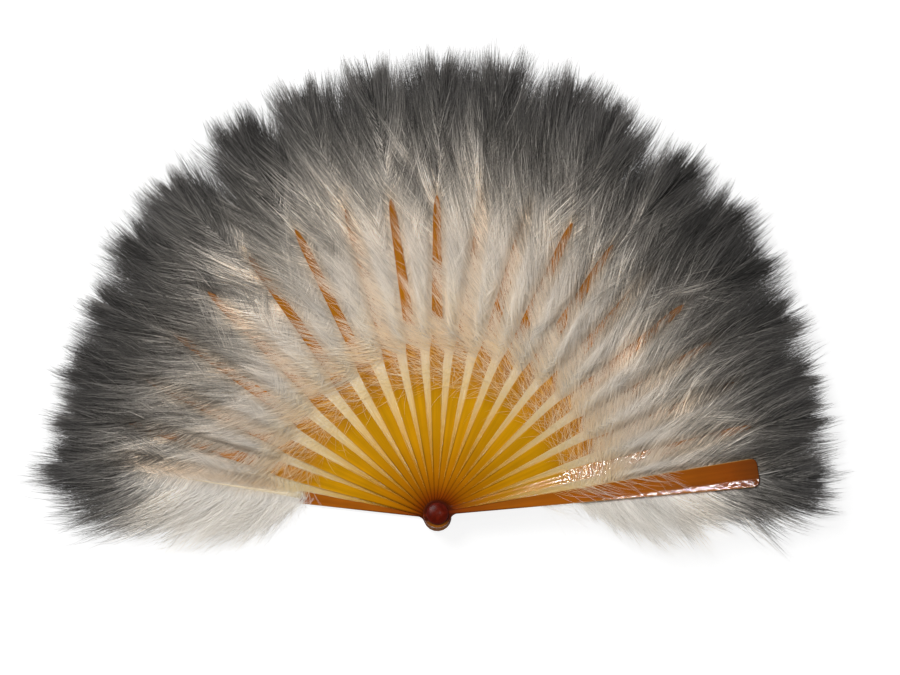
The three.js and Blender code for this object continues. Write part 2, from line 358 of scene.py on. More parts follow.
# Painted light on the heads, where fewer blades stack, by its place below the rivet
LOBE_LIGHT_PLACE = (-4 * MM, -8 * MM)

# Bright spots: where streaks give way to speckles, the span of their noise and their soft edge
SPECKLE_START = (80 * MM, 90 * MM)
SPOT_SPAN = (0.5, 0.56)
SPOT_EDGE = 0.5 * MM
BUMP_DEPTH = 0.3 * MM

# Surface of the rivet
RIVET_ROUGH = 0.25
RIVET_SHINE = 0.1
RIVET_UNEVEN = 0.25


@dataclass
class Finish:
    """Surface of a blade: roughness and shine, the same for its bright spots, their edge and unevenness."""
    rough: float
    shine: float
    spot_rough: float
    spot_shine: float
    line: float
    uneven: float


SATIN = Finish(rough=0.5, shine=0.01, spot_rough=0.5, spot_shine=0.01, line=0, uneven=0.08)
POLISHED = Finish(rough=0.35, shine=0.04, spot_rough=0.08, spot_shine=0.5, line=-4 * MM, uneven=0)
GLITTERING = Finish(rough=0.35, shine=0.04, spot_rough=0.08, spot_shine=0.5, line=6 * MM, uneven=0)


@dataclass
class Blade:
    """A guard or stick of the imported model, with what its plume needs to know."""
    name: str
    plume: str
    angle: float
    end: float
    tip: float
    front: float
    bed: float
    quill: float


@dataclass
class Tufts:
    """The tufts of one vane, one row each: which lie over the next blade or cross it, and their paths."""
    over: np.ndarray
    crossing: np.ndarray
    start: np.ndarray
    lean: np.ndarray
    length: np.ndarray
    bend: np.ndarray


def corners_of(node):
    """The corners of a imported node's mesh, one row each."""
    mesh = frame["nodes"][node].data
    flat = np.empty(len(mesh.vertices) * 3, np.float32)
    mesh.vertices.foreach_get("co", flat)
    return flat.reshape(-1, 3).astype(float)


def read_blade(name):
    """Works out a blade's angle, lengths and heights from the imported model."""
    plume = name.replace("stick", "plume") if name.startswith("stick") else name + "_plume"
    vane = corners_of(plume)
    blade = corners_of(name)
    distance = np.hypot(vane[:, 0], vane[:, 1])
    tip = vane[distance.argmax()]
    rear = blade[:, 2].min()
    front = blade[:, 2].max()
    return Blade(
        name=name,
        plume=plume,
        angle=math.atan2(tip[1], tip[0]),
        end=np.hypot(blade[:, 0], blade[:, 1]).max(),
        tip=distance.max(),
        front=front,
        bed=front + LAYER_CLEAR if name == "rear_guard" else rear - LAYER_CLEAR,
        quill=vane[:, 2].mean(),
    )


def smooth(value, low, high):
    """0 below low, 1 above high, with a soft step between."""
    share = np.clip((value - low) / (high - low), 0, 1)
    return share * share * (3 - 2 * share)


def along_table(share, table):
    """Reads a table of (share, value) rows at each share."""
    places, values = zip(*table)
    return np.interp(share, places, values)


def rotated(along, across, angle):
    """A place along and across a direction, as x and y once that direction is turned by an angle."""
    cos, sin = math.cos(angle), math.sin(angle)
    return along * cos - across * sin, along * sin + across * cos


def quill_end(blade):
    """How far from the rivet the quill of a blade's plume ends."""
    turn = math.degrees(abs(blade.angle - math.pi / 2))
    return blade.tip - along_table(turn, SHORT_OF_TIP_MM) * MM


def strand_paths(start, lean, length, side, bend):
    """Paths that leave the quill at lean and bend towards its tip, as (along, across)."""
    steps = (np.arange(SEGMENTS) + 0.5) / SEGMENTS
    turn = lean[..., None] * (1 - bend[..., None] * steps)
    reach = length[..., None] / SEGMENTS
    zero = np.zeros(lean.shape + (1,))
    along = np.concatenate([zero, np.cumsum(np.cos(turn) * reach, axis=-1)], axis=-1)
    across = np.concatenate([zero, np.cumsum(np.sin(turn) * reach, axis=-1)], axis=-1)
    return start[..., None] + along, side[..., None] * across


def plan_tufts(index, blades, rng):
    """Shares the tufts of one plume out along both sides of its quill."""
    blade = blades[index]
    per_tuft = (TUFTS, 1)
    share = ((np.arange(TUFTS) + rng.random(TUFTS)) / TUFTS)[:, None]
    over = np.arange(TUFTS)[:, None] % 2 == 0
    free = ((index == 0) & ~over) | ((index + 1 == len(blades)) & over)
    gaps = np.diff([other.angle for other in blades])
    widest = gaps[max(index - 1, 0):index + 1].max()
    slot_lean = along_table(share, SLOT_LEANS) * widest / gaps.min()
    lean = np.where(free, along_table(share, FREE_LEANS), slot_lean)
    lean = np.radians(lean) + rng.normal(0, TUFT_LEAN_SPREAD, per_tuft)
    bend = along_table(share, BENDS) + rng.normal(0, BEND_SPREAD, per_tuft)
    size = blade.tip / max(other.tip for other in blades) * rng.uniform(*PLUME_SIZES)
    length = np.where(free, along_table(share, FREE_LENGTHS_MM), along_table(share, SLOT_LENGTHS_MM))
    cover = RIB_COVER[index] if index < len(RIB_COVER) else 0
    crossing = over & ((rng.random(per_tuft) < cover) | (share < BASE_SHARE))
    far = (crossing & ~free) * (1 - smooth(share, *CROSSING_FADE))
    lean = lean + CROSSING_LEAN * far
    longer = np.where(free, FRINGE_SIZES.get(blade.name, 1), 1 + (CROSSING_LONGER - 1) * far)
    length = length * MM * size * longer * rng.uniform(*TUFT_SIZES, per_tuft)
    vane_start = np.where(free | (blade.name == "rear_guard"), OPEN_VANE_START, VANE_START)
    start = vane_start + (quill_end(blade) - vane_start) * share
    return Tufts(over=over, crossing=crossing, start=start, lean=lean, length=length, bend=bend)


def vane_strands(index, blades, rng):
    """The vane of one plume, in tufts to both sides of its quill: (along, across, lift) and paleness."""
    blade = blades[index]
    per_tuft = (TUFTS, 1)
    per_strand = (TUFTS, STRANDS_PER_TUFT)
    s = np.linspace(0, 1, SEGMENTS + 1)

    tufts = plan_tufts(index, blades, rng)
    length = tufts.length * rng.uniform(*STRAND_SIZES, per_strand)
    side = np.broadcast_to(np.where(tufts.over, 1.0, -1.0), per_strand)
    bend = np.broadcast_to(tufts.bend, per_strand)
    lean = np.broadcast_to(tufts.lean, per_strand)
    start = np.broadcast_to(tufts.start, per_strand)
    guide = strand_paths(start, lean, length, side, bend)
    own_start = start + rng.normal(0, ROOT_SPREAD, per_strand)
    own_lean = lean + rng.normal(0, STRAND_LEAN_SPREAD, per_strand)
    own = strand_paths(own_start, own_lean, length, side, bend)
    clump = rng.uniform(*CLUMP_RANGE, per_strand)[..., None] * s ** CLUMP_POWER
    along = own[0] + (guide[0] - own[0]) * clump
    across = own[1] + (guide[1] - own[1]) * clump
    wave = rng.uniform(0, 2 * math.pi, per_strand)[..., None]
    pitch = rng.uniform(*FRIZZ_TURNS, per_strand)[..., None]
    across = across + FRIZZ * s * np.sin(wave + 2 * math.pi * pitch * s)

    across = keep_in_slot(index, blades, along, across, tufts.crossing[..., None])
    bow = along_table(math.degrees(blade.angle), TIP_BOW_MM) * MM + rng.normal(0, TIP_BOW_SPREAD)
    across = across + bow * smooth(along, BOW_START, blade.tip)

    upward = rng.random(per_tuft) < np.where(tufts.over, UPWARD_SHARE_OVER, UPWARD_SHARE_UNDER)
    height = rng.uniform(*PUFF_SHARES, per_tuft) * np.where(upward, PUFF_UP, -PUFF_DOWN)
    height = height + rng.normal(0, PUFF_SPREAD, per_strand)
    rise = s ** RISE_POWER + RISE_WAVE * np.sin(wave * RISE_PHASE + 2 * math.pi * s)
    turn = np.arctan2(across, along) + blade.angle
    room = 1 - rib_nearness(np.hypot(along, across), turn, blades)
    lift = blade.bed + height[..., None] * rise * room
    pale = rng.normal(0, PLUME_PALE_SPREAD) + rng.normal(0, TUFT_PALE_SPREAD, per_tuft)
    pale = pale + rng.normal(0, STRAND_PALE_SPREAD, per_strand)
    return np.stack([along, across, lift], axis=-1).reshape(-1, SEGMENTS + 1, 3), pale.reshape(-1)


def loose_strands(blade, rng):
    """Curled barbs that stray from the plume's foot over the neighbouring sticks."""
    s = np.linspace(0, 1, SEGMENTS + 1)
    start = rng.uniform(*LOOSE_START, LOOSE_BARBS)
    lean = rng.uniform(*LOOSE_LEAN, LOOSE_BARBS)
    length = rng.uniform(*LOOSE_LENGTH, LOOSE_BARBS)
    bend = rng.normal(*LOOSE_BEND, LOOSE_BARBS)
    along, across = strand_paths(start, lean, length, np.ones(LOOSE_BARBS), bend)
    lift = blade.bed + rng.uniform(0, LOOSE_LIFT, (LOOSE_BARBS, 1)) * np.sin(math.pi * s)
    return np.stack([along, across, lift], axis=-1)


def slit_strands(index, blades, rng):
    """Barbs along the slit between a stick and the next one."""
    s = np.linspace(0, 1, SEGMENTS + 1)
    gap = blades[index + 1].angle - blades[index].angle
    start = rng.uniform(*SLIT_START, (SLIT_BARBS, 1))
    along = start - rng.uniform(*SLIT_LENGTH, (SLIT_BARBS, 1)) * s
    wave = SLIT_WAVE * np.sin(rng.uniform(0, 2 * math.pi, (SLIT_BARBS, 1)) + 2 * math.pi * s)
    across = along * math.tan(gap) * rng.uniform(*SLIT_PLACE, (SLIT_BARBS, 1)) + wave
    lift = np.full_like(along, blades[index].bed)
    return np.stack([along, across, lift], axis=-1)


def rib_hairs(index, blades, rng):
    """Fine hairs that leave the slot and cross the next rib at a slant."""
    gap = blades[index + 1].angle - blades[index].angle
    start = rng.uniform(*RIB_HAIR_START, RIB_HAIRS)
    lean = rng.uniform(*RIB_HAIR_LEAN, RIB_HAIRS)
    length = rng.uniform(*RIB_HAIR_LENGTH, RIB_HAIRS)
    bend = rng.normal(*RIB_HAIR_BEND, RIB_HAIRS)
    along, across = strand_paths(start, lean, length, np.ones(RIB_HAIRS), bend)
    off = half_width(blades[index + 1], start) + rng.uniform(0, RIB_HAIR_OFFSET, RIB_HAIRS)
    across = across - off[:, None]
    lift = np.full_like(along, blades[index].bed)
    return np.stack([*rotated(along, across, gap), lift], axis=-1)


def stray_strands(blade, rng):
    """Barbs that curl over a guard's upper edge and down across its face."""
    s = np.linspace(0, 1, SEGMENTS + 1)
    start = rng.uniform(*STRAY_START, STRAY_BARBS)
    lean = rng.uniform(*STRAY_LEAN, STRAY_BARBS)
    length = rng.uniform(*STRAY_LENGTH, STRAY_BARBS)
    bend = rng.normal(*STRAY_BEND, STRAY_BARBS)
    along, across = strand_paths(start, lean, length, -np.ones(STRAY_BARBS), bend)
    across = across + half_width(blade, start)[:, None] + STRAY_EDGE_GAP
    over = rng.uniform(*STRAY_LIFT, (STRAY_BARBS, 1))
    lift = blade.front - STRAY_DEPTH + (STRAY_DEPTH + over) * smooth(s, *STRAY_RISE)
    return np.stack([along, across, lift], axis=-1)


def wisp_strands(blade, rng):
    """Wisps that show below a guard's lower edge."""
    start = rng.uniform(*WISP_START, WISPS)
    lean = rng.uniform(*WISP_LEAN, WISPS)
    length = rng.uniform(*WISP_LENGTH, WISPS)
    bend = rng.normal(*WISP_BEND, WISPS)
    along, across = strand_paths(start, lean, length, -np.ones(WISPS), bend)
    across = across - half_width(blade, start)[:, None] + WISP_TUCK
    lift = np.full_like(along, blade.bed)
    return np.stack([along, across, lift], axis=-1)


def plume_strands(index, blades, rng):
    """Centre lines of all strands of one plume in the fan's frame, with their paleness and width."""
    blade = blades[index]
    vane, pale = vane_strands(index, blades, rng)
    barbs = [loose_strands(blade, rng)]
    if index + 1 < len(blades):
        barbs += [slit_strands(index, blades, rng), rib_hairs(index, blades, rng)]
    if blade.name == "front_guard":
        barbs += [stray_strands(blade, rng), wisp_strands(blade, rng)]
    strands = np.concatenate([vane, *barbs])
    singles = len(strands) - len(vane)
    pale = np.append(pale, np.zeros(singles))
    width = STRAND_WIDTH * np.append(np.ones(len(vane)), np.full(singles, BARB_WIDTH_SHARE))
    along, across, lift = np.moveaxis(strands, -1, 0)
    lift = np.clip(lift, FLOOR_CLEAR, cad_box[1][2] + TOP_CLEAR)
    return np.stack([*rotated(along, across, blade.angle), lift], axis=-1), pale, width


def keep_in_slot(index, blades, along, across, crossing):
    """Holds strands short of the next rib, so that the ribs show, apart from those that cross it."""
    if index + 1 == len(blades):
        return across
    gap = blades[index + 1].angle - blades[index].angle
    rib = half_width(blades[index + 1], along)
    limit = np.maximum(along * math.sin(gap) - rib - RIB_MARGIN, NARROWEST_SLOT)
    held = limit * np.tanh(across / limit)
    freed = smooth(along, blades[index + 1].end - RIB_COVERED, blades[index + 1].end)
    inside = np.where((across > 0) & ~crossing, 1 - freed, 0)
    return across + (held - across) * inside


def half_width(blade, radius):
    """Half the width of a blade at a distance from the rivet."""
    table = STICK_HALF_WIDTHS_MM if blade.name.startswith("stick") else GUARD_HALF_WIDTHS_MM
    return along_table(radius / MM, table) * MM


def rib_nearness(radius, turn, blades):
    """1 over a blade, falling to 0 clear of it and beyond its end."""
    nearness = np.zeros_like(radius)
    for blade in blades:
        away = turn - blade.angle
        edge = half_width(blade, radius)
        beside = 1 - smooth(radius * np.abs(np.sin(away)), edge, edge + RIB_CLEAR)
        before = 1 - smooth(radius, blade.end + RIB_END_FADE[0], blade.end + RIB_END_FADE[1])
        nearness = np.maximum(nearness, np.where(np.cos(away) > 0, beside * before, 0))
    return nearness


def ribbon_corners(paths, width, rng):
    """Two corners at each step of every strand and one at its tip."""
    count = len(paths)
    along = np.gradient(paths, axis=1)
    along /= np.linalg.norm(along, axis=2, keepdims=True)
    up = np.array([0.0, 0.0, 1.0])
    flat = np.cross(along, up)
    flat /= np.linalg.norm(flat, axis=2, keepdims=True) + 1e-9
    roll = rng.normal(0, ROLL_SPREAD, (count, 1, 1))
    wide = flat * np.cos(roll) + np.cross(along, flat) * np.sin(roll)
    s = np.linspace(0, 1, SEGMENTS + 1)[None, :, None]
    half = 0.5 * width[:, None, None] * rng.uniform(*WIDTH_SHARES, (count, 1, 1)) * (1 - s ** TAPER_POWER)
    left = (paths - wide * half)[:, :-1]
    right = (paths + wide * half)[:, :-1]
    sides = np.stack([left, right], axis=2).reshape(count, -1, 3)
    return np.concatenate([sides, paths[:, -1:]], axis=1)


def ribbon_faces(count, per_strand):
    """The four-sided faces along every strand and the three-sided one at its tip."""
    first = np.arange(count)[:, None] * per_strand
    step = 2 * np.arange(SEGMENTS - 1)[None, :]
    quads = np.stack([step, step + 1, step + 3, step + 2], axis=-1) + first[..., None]
    end = 2 * (SEGMENTS - 1)
    tips = np.array([end, end + 1, end + 2])[None, :] + first
    return [quads.reshape(-1, 4), tips]


def ribbon_steps():
    """How far along its strand each of a strand's corners lies, from 0 to 1."""
    return np.append(np.repeat(np.arange(SEGMENTS), 2), SEGMENTS) / SEGMENTS


def ribbon_layout(count, grid):
    """A flat layout with one small cell for each strand."""
    cell = np.stack([np.arange(count) % grid, np.arange(count) // grid], axis=-1)[:, None, :]
    over = np.append(np.tile(CELL_SIDES, SEGMENTS), CELL_MIDDLE)
    inside = np.stack([over, CELL_FOOT + CELL_LENGTH * ribbon_steps()], axis=-1)[None]
    return ((cell + inside) / (grid + 1)).reshape(-1, 2)


def ribbon_tones(corners, pale, index, blades, rng):
    """For each corner: its place from the plume's foot to its tip, its lightness and the painted amber light
    on it.
    """
    blade = blades[index]
    radius = np.hypot(corners[..., 0], corners[..., 1])
    turn = np.arctan2(corners[..., 1], corners[..., 0]) % (2 * math.pi)
    beside = (turn < blades[0].angle) | (turn > blades[-1].angle)
    reach = np.interp(radius, (0, FOOT_END, blade.tip), (0, FOOT_SHARE, 1))
    sooner = along_table(math.degrees(blade.angle), SOONER)
    reach = reach + sooner * smooth(reach, *SOONER_FADE) * (1 - reach) / (1 - FOOT_SHARE)
    aside = np.interp(abs(blade.angle - math.pi / 2), SIDE_SPAN, (0, 1))
    dimmer = np.where(beside, 1, 1 - (1 - SIDE_SHADE) * aside * (1 - smooth(reach, *SIDE_SHADE_FADE)))
    reach = np.where(beside, np.maximum(reach, OPEN_SHARE), reach)

    shift = rng.normal(0, TONE_SPREAD, (len(corners), 1)) - PALE_TONE_SHIFT * pale[:, None]
    tone = np.clip(reach + shift + TONE_ALONG_STRAND * (ribbon_steps() - 0.5), 0, 1)
    spread = WHITE_SPREAD + TIP_EXTRA_SPREAD * smooth(reach, *SPREAD_FADE)
    lightest = np.interp(reach, LIGHTEST_FADE, LIGHTEST)
    darker = 1 - along_table(math.degrees(blade.angle), TIP_SHADES)
    dimmer = dimmer * (1 - darker * smooth(reach, *TIP_SHADE_FADE))
    tint = dimmer * np.clip(np.exp(spread * pale[:, None]), DARKEST, lightest)
    # Painted amber light on the down, stronger near a rib and fading towards the tip
    glow = (OPEN_AMBER_LIGHT + RIB_AMBER_LIGHT * rib_nearness(radius, turn, blades)) * smooth(radius, *AMBER_LIGHT_START)
    glow = np.where(beside, 0, glow * (1 - TIP_AMBER_LIGHT_LOSS * smooth(reach, *AMBER_LIGHT_FADE)))
    return tone.reshape(-1), tint.reshape(-1), glow.reshape(-1)


def down_mesh(index, blades, rng):
    """One plume as a mesh: its strands as ribbons and its quill."""
    blade = blades[index]
    paths, pale, width = plume_strands(index, blades, rng)
    corners = ribbon_corners(paths, width, rng)
    count, per_strand, _ = corners.shape
    grid = math.ceil(math.sqrt(count))
    tones, tints, amber_lights = ribbon_tones(corners, pale, index, blades, rng)
    quill_points, quill_rows = quill_shape(blade)
    extra = len(quill_points)

    rows = ribbon_faces(count, per_strand) + [row + count * per_strand for row in quill_rows]
    points = np.concatenate([corners.reshape(-1, 3), quill_points])
    mesh = mesh_from_arrays(blade.plume + "_down", points, rows)
    add_point_values(mesh, "tone", np.append(tones, np.zeros(extra)))
    add_point_values(mesh, "tint", np.append(tints, np.ones(extra)))
    # The painted amber light on each point
    add_point_values(mesh, "glow", np.append(amber_lights, np.zeros(extra)))
    quill_spots = np.full((extra, 2), (grid + 0.5) / (grid + 1))
    add_layout(mesh, np.concatenate([ribbon_layout(count, grid), quill_spots]))
    slots = np.zeros(len(mesh.polygons), np.int32)
    slots[-sum(len(row) for row in quill_rows):] = 1
    mesh.polygons.foreach_set("material_index", slots)
    return mesh


def quill_shape(blade):
    """The flattened tapering shaft of a plume: its points and its faces."""
    s = np.linspace(0, 1, QUILL_RINGS)
    along = QUILL_START + (quill_end(blade) - QUILL_START) * s
    taper = 1 - QUILL_TAPER * np.sqrt(s)
    around = 2 * math.pi * np.arange(QUILL_SIDES) / QUILL_SIDES
    across = QUILL_HALF_WIDTH * taper[:, None] * np.cos(around)
    tall = OPEN_QUILL_HALF_HEIGHT if blade.name == "rear_guard" else HIDDEN_QUILL_HALF_HEIGHT
    lift = blade.quill + tall * taper[:, None] ** 0.5 * np.sin(around)
    along = np.broadcast_to(along[:, None], across.shape)
    points = np.stack([*rotated(along, across, blade.angle), lift], axis=-1)
    ring = np.arange(QUILL_RINGS - 1)[:, None] * QUILL_SIDES
    side = np.arange(QUILL_SIDES)[None, :]
    other = (side + 1) % QUILL_SIDES
    above = ring + QUILL_SIDES
    walls = np.stack([ring + side, ring + other, above + other, above + side], axis=-1)
    foot = np.arange(QUILL_SIDES)[::-1][None, :]
    head = (QUILL_RINGS - 1) * QUILL_SIDES + np.arange(QUILL_SIDES)[None, :]
    return points.reshape(-1, 3), [walls.reshape(-1, 4), foot, head]


def mesh_from_arrays(name, points, rows):
    """A mesh from points and face rows, each row array holding faces of one size."""
    sizes = np.concatenate([np.full(len(row), row.shape[1]) for row in rows])
    loops = np.concatenate([row.reshape(-1) for row in rows])
    starts = np.concatenate([[0], np.cumsum(sizes)[:-1]])
    mesh = bpy.data.meshes.new(name)
    mesh.vertices.add(len(points))
    mesh.vertices.foreach_set("co", points.astype(np.float32).reshape(-1))
    mesh.loops.add(len(loops))
    mesh.loops.foreach_set("vertex_index", loops.astype(np.int32))
    mesh.polygons.add(len(sizes))
    mesh.polygons.foreach_set("loop_start", starts.astype(np.int32))
    mesh.update(calc_edges=True)
    mesh.shade_smooth()
    return mesh


def add_point_values(mesh, name, values):
    """Stores one number for each point under a name that a material reads."""
    layer = mesh.attributes.new(name, "FLOAT", "POINT")
    layer.data.foreach_set("value", values.astype(np.float32))


def add_layout(mesh, spots):
    """Lays the faces out flat, one small cell for each strand."""
    corner_points = np.empty(len(mesh.loops), np.int32)
    mesh.loops.foreach_get("vertex_index", corner_points)
    layer = mesh.uv_layers.new(name="OFBake")
    layer.data.foreach_set("uv", spots[corner_points].astype(np.float32).reshape(-1))


def from_screen(red, green, blue):
    """A colour given as 0 to 255 on a screen, as the linear colour that shaders use."""
    shares = np.array([red, green, blue]) / 255
    linear = np.where(shares <= 0.04045, shares / 12.92, ((shares + 0.055) / 1.055) ** 2.4)
    return (*linear, 1.0)


class Shading:
    """A node material under construction: each method adds a node and gives its output."""

    def __init__(self, name):
        self.material = bpy.data.materials.new(name)
        self.material.use_nodes = True
        self.nodes = self.material.node_tree.nodes
        self.links = self.material.node_tree.links
        self.nodes.clear()

    def put(self, socket, value):
        """Feeds a socket from another node's output, or sets it to a plain value."""
        if isinstance(value, bpy.types.NodeSocket):
            self.links.new(value, socket)
        else:
            socket.default_value = value

    def add(self, kind, output, **inputs):
        """Adds a node, feeds its inputs and gives one of its outputs."""
        node = self.nodes.new(kind)
        for name, value in inputs.items():
            self.put(node.inputs[name.replace("_", " ")], value)
        return node.outputs[output]

    def calc(self, operation, *terms):
        """Arithmetic on numbers."""
        node = self.nodes.new("ShaderNodeMath")
        node.operation = operation
        for socket, term in zip(node.inputs, terms):
            self.put(socket, term)
        return node.outputs["Value"]

    def vector(self, operation, output, *terms):
        """Arithmetic on vectors."""
        node = self.nodes.new("ShaderNodeVectorMath")
        node.operation = operation
        for socket, term in zip(node.inputs, terms):
            self.put(socket, term)
        return node.outputs[output]

    def scaled(self, vector, factor):
        """A vector or colour times a factor."""
        node = self.nodes.new("ShaderNodeVectorMath")
        node.operation = "SCALE"
        self.put(node.inputs[0], vector)
        self.put(node.inputs["Scale"], factor)
        return node.outputs["Vector"]

    def between(self, value, low, high, to_low=0.0, to_high=1.0):
        """A clamped straight step from to_low at low to to_high at high."""
        node = self.nodes.new("ShaderNodeMapRange")
        for name, term in (("Value", value), ("From Min", low), ("From Max", high)):
            self.put(node.inputs[name], term)
        node.inputs["To Min"].default_value = to_low
        node.inputs["To Max"].default_value = to_high
        return node.outputs["Result"]

    def ramp(self, value, stops):
        """A colour read from stops of screen colours."""
        node = self.nodes.new("ShaderNodeValToRGB")
        elements = node.color_ramp.elements
        while len(elements) < len(stops):
            elements.new(0.5)
        for element, (place, colour) in zip(elements, stops):
            element.position = place
            element.color = from_screen(*colour)
        self.put(node.inputs["Fac"], value)
        return node.outputs["Color"]

    def blend(self, share, first, second):
        """A share of the second colour mixed into the first."""
        node = self.nodes.new("ShaderNodeMix")
        node.data_type = "RGBA"
        factor, colours = node.inputs[0], [socket for socket in node.inputs if socket.type == "RGBA"]
        self.put(factor, share)
        self.put(colours[0], first)
        self.put(colours[1], second)
        return [socket for socket in node.outputs if socket.type == "RGBA"][0]

    def attribute(self, name):
        """A number stored on the mesh's points."""
        node = self.nodes.new("ShaderNodeAttribute")
        node.attribute_name = name
        return node.outputs["Fac"]

    def turned(self, vector, angle, scale):
        """Object coordinates turned about Z into a blade's own along and across, then scaled."""
        node = self.nodes.new("ShaderNodeMapping")
        self.put(node.inputs["Vector"], vector)
        node.inputs["Rotation"].default_value = (0, 0, angle)
        return self.vector("MULTIPLY", "Vector", node.outputs["Vector"], scale)

    def noise(self, vector, scale, detail):
        """An uneven pattern of numbers between 0 and 1."""
        return self.add("ShaderNodeTexNoise", "Fac", Vector=vector, Scale=scale, Detail=detail)

    def from_rivet(self, place):
        """The distance of a place from the rivet's axis."""
        return self.vector("LENGTH", "Value", self.vector("MULTIPLY", "Vector", place, (1, 1, 0)))

    def surface(self, **inputs):
        """The common surface shader."""
        return self.add("ShaderNodeBsdfPrincipled", "BSDF", **inputs)

    def finish(self, shader):
        """Closes the material with its surface shader."""
        output = self.nodes.new("ShaderNodeOutputMaterial")
        self.links.new(shader, output.inputs["Surface"])
        return self.material


def down_material():
    """Soft down, white at the foot of the plume and charcoal at its tip."""
    look = Shading("down")
    colour = look.scaled(look.ramp(look.attribute("tone"), DOWN_STOPS), look.attribute("tint"))
    # Painted amber light: the down tinted as if lit through the amber blades
    amber = look.vector("MULTIPLY", "Vector", colour, AMBER_LIGHT_TINT)
    colour = look.blend(look.attribute("glow"), colour, amber)
    front = look.surface(Base_Color=colour, Roughness=DOWN_ROUGH, Specular_IOR_Level=DOWN_SHINE)
    through = look.add("ShaderNodeBsdfTranslucent", "BSDF", Color=colour)
    both = look.nodes.new("ShaderNodeMixShader")
    both.inputs["Fac"].default_value = DOWN_THROUGH
    look.links.new(front, both.inputs[1])
    look.links.new(through, both.inputs[2])
    return look.finish(both.outputs["Shader"])


def quill_material():
    """Smooth cream horn of a feather's shaft."""
    look = Shading("quill")
    return look.finish(look.surface(Base_Color=from_screen(*QUILL_COLOUR), Roughness=QUILL_ROUGH))


def painted_edge_shade_and_light(look, colour, radius, across, half_widths):
    """Paints shade along a blade's edges near the rivet, where the blades overlap, and light on them further
    out, beside the slits.
    """
    (near, near_half), (far, far_half) = half_widths
    half = look.between(radius, near * MM, far * MM, near_half * MM, far_half * MM)
    inset = look.calc("SUBTRACT", half, look.calc("ABSOLUTE", across))
    edge = look.between(inset, *EDGE_DEPTH, 1.0, 0.0)
    inner = look.between(radius, *EDGE_FADE, EDGE_PAINTED_SHADE, 0.0)
    colour = look.scaled(colour, look.calc("SUBTRACT", 1.0, look.calc("MULTIPLY", edge, inner)))
    rim = look.between(inset, 0.0, RIM_DEPTH, 1.0, 0.0)
    outer = look.between(radius, *RIM_START, 0.0, RIM_PAINTED_LIGHT)
    return look.blend(look.calc("MULTIPLY", rim, outer), colour, from_screen(*SLIT_RIM_PAINTED_LIGHT))


def barbs_through(look, colour, place, radius, angle):
    """Lets the barbs behind a stick show through its broad part."""
    barbs = look.noise(look.turned(place, -angle - BARB_LEAN, BARB_SCALE), 1.0, 2.0)
    begun = look.between(radius, *BARB_START, 0.0, BARB_STRENGTH)
    seen = look.calc("MULTIPLY", look.between(barbs, *BARB_SPAN), begun)
    seen = look.calc("MULTIPLY", seen, look.between(radius, *BARB_END, 1.0, 0.0))
    return look.blend(seen, colour, from_screen(*BARB_THROUGH))


def bright_spots(look, place, radius, across, streak, line):
    """Where a blade is bright, to one side of a line: streaks near the rivet, speckles further out."""
    speckle = look.noise(place, SPECKLE_SCALE, 1.0)
    grainy = look.between(radius, *SPECKLE_START)
    spots = look.calc("MULTIPLY_ADD", look.calc("SUBTRACT", speckle, streak), grainy, streak)
    inside = look.between(across, line + SPOT_EDGE, line - SPOT_EDGE)
    return look.calc("MULTIPLY", look.between(spots, *SPOT_SPAN), inside)


def amber_material(name, angle, stops, shade, half_widths, finish):
    """Amber with painted shade at the rivet and painted light further out, streaked along the blade, with
    barbs showing through a stick's broad part.
    """
    look = Shading(name)
    place = look.add("ShaderNodeTexCoord", "Object")
    radius = look.from_rivet(place)
    across = look.add("ShaderNodeSeparateXYZ", "Y", Vector=look.turned(place, -angle, (1, 1, 1)))
    # The ramp holds painted shade towards the rivet, where the blades stack, and painted light where the
    # floor shows through
    colour = look.ramp(look.calc("DIVIDE", radius, BLADE_REACH), stops)

    streak = look.noise(look.turned(place, -angle, STREAK_SCALE), 1.0, 3.0)
    shades = [end * shade for end in STREAK_SHADES]
    colour = look.scaled(colour, look.between(streak, *NOISE_SPAN, *shades))
    cloud = look.noise(place, CLOUD_SCALE, 2.0)
    colour = look.scaled(colour, look.between(cloud, *NOISE_SPAN, *CLOUD_SHADES))
    # Painted shade along the edges near the rivet and painted light on the rims beside the slits
    colour = painted_edge_shade_and_light(look, colour, radius, across, half_widths)
    if finish != POLISHED:
        colour = barbs_through(look, colour, place, radius, angle)
    # Painted light on the heads below the rivet, where fewer blades stack
    low = look.between(look.add("ShaderNodeSeparateXYZ", "Y", Vector=place), *LOBE_LIGHT_PLACE)
    colour = look.blend(low, colour, from_screen(*HEAD_LOBE_PAINTED_LIGHT))

    spots = bright_spots(look, place, radius, across, streak, finish.line)
    rough = look.between(spots, 0.0, 1.0, finish.rough, finish.spot_rough)
    shine = look.between(spots, 0.0, 1.0, finish.shine, finish.spot_shine)
    bump = look.add("ShaderNodeBump", "Normal", Strength=finish.uneven, Distance=BUMP_DEPTH, Height=streak)
    return look.finish(look.surface(Base_Color=colour, Roughness=rough, Specular_IOR_Level=shine,
                                    Normal=bump))


def rivet_material():
    """Polished dark red-brown."""
    look = Shading("rivet_amber")
    place = look.add("ShaderNodeTexCoord", "Object")
    colour = look.ramp(look.calc("DIVIDE", look.from_rivet(place), BLADE_REACH), RIVET_STOPS)
    grain = look.noise(place, GRAIN_SCALE, 2.0)
    colour = look.scaled(colour, look.between(grain, *NOISE_SPAN, *GRAIN_SHADES))
    bump = look.add("ShaderNodeBump", "Normal", Strength=RIVET_UNEVEN, Distance=BUMP_DEPTH, Height=grain)
    return look.finish(look.surface(Base_Color=colour, Roughness=RIVET_ROUGH, Specular_IOR_Level=RIVET_SHINE,
                                    Normal=bump))


